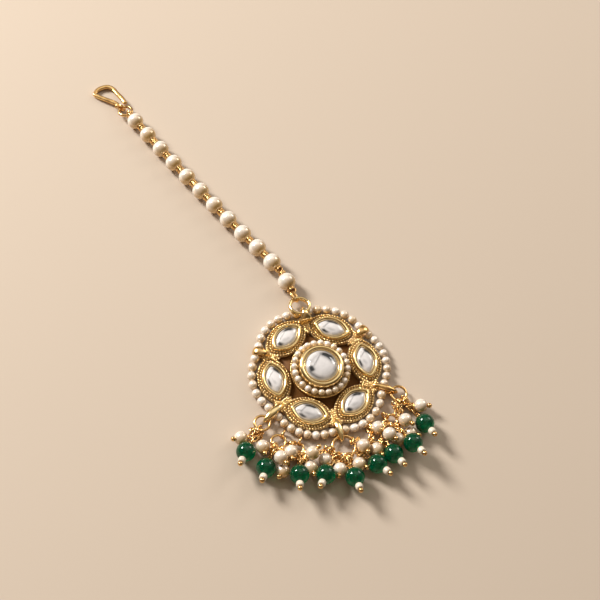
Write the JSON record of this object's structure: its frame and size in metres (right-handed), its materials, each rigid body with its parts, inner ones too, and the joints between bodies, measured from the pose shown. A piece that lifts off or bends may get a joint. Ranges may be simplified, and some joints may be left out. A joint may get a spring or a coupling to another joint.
{
  "type": "maang tikka",
  "caption": "Round forehead jewel with glass stones in gold settings, a pearl edge, a pearl chain with a hair hook, and a fringe of pearls and green beads.",
  "frame": {"origin": "the middle of the pendant's flat back, on the surface that the jewel lies on", "axes": "+Z out of the pendant's face, +Y from the pendant's middle through its top loop, +X to the right seen from the front"},
  "size_m": [0.0635, 0.1308, 0.0065],
  "materials": {
    "gold": "polished gold plate, darker in the recesses",
    "clear_glass": "foil-backed clear cut glass, high polish",
    "pearl": "cream imitation pearl with a soft lustre",
    "green_glass": "deep emerald glass, glossy"
  },
  "bodies": {
    "root": {"hair_hook": "gold", "hook_ring": "gold", "chain_pearl_01": "pearl", "chain_pearl_02": "pearl", "chain_pearl_03": "pearl", "chain_pearl_04": "pearl", "chain_pearl_05": "pearl", "chain_pearl_06": "pearl", "chain_pearl_07": "pearl", "chain_pearl_08": "pearl", "chain_pearl_09": "pearl", "chain_pearl_10": "pearl", "chain_pearl_11": "pearl", "chain_pearl_12": "pearl", "chain_eye_pin_01": "gold", "chain_eye_pin_02": "gold", "chain_eye_pin_03": "gold", "chain_eye_pin_04": "gold", "chain_eye_pin_05": "gold", "chain_eye_pin_06": "gold", "chain_eye_pin_07": "gold", "chain_eye_pin_08": "gold", "chain_eye_pin_09": "gold", "chain_eye_pin_10": "gold", "chain_eye_pin_11": "gold", "chain_eye_pin_12": "gold", "spare_link": "gold", "chain_end_link": "gold", "top_jump_ring": "gold", "pendant_frame": "gold", "centre_stone": "clear_glass", "centre_pearl_ring": "pearl", "marquise_stone_1": "clear_glass", "marquise_stone_2": "clear_glass", "marquise_stone_3": "clear_glass", "marquise_stone_4": "clear_glass", "marquise_stone_5": "clear_glass", "marquise_stone_6": "clear_glass", "edge_pearl_string_1": "pearl", "edge_pearl_string_2": "pearl", "edge_pearl_string_3": "pearl", "edge_pearl_string_4": "pearl", "edge_pearl_string_5": "pearl", "edge_pearl_string_6": "pearl", "green_bead_1": "green_glass", "green_bead_2": "green_glass", "green_bead_3": "green_glass", "green_bead_4": "green_glass", "green_bead_5": "green_glass", "green_bead_6": "green_glass", "green_bead_7": "green_glass", "green_bead_8": "green_glass", "green_bead_9": "green_glass", "drop_cluster_left": "gold", "drop_cluster_lower_left": "gold", "drop_cluster_left_middle": "gold", "drop_cluster_bottom": "gold", "drop_cluster_right_middle": "gold", "drop_cluster_lower_right": "gold", "drop_cluster_right": "gold"}
  },
  "joints": []
}
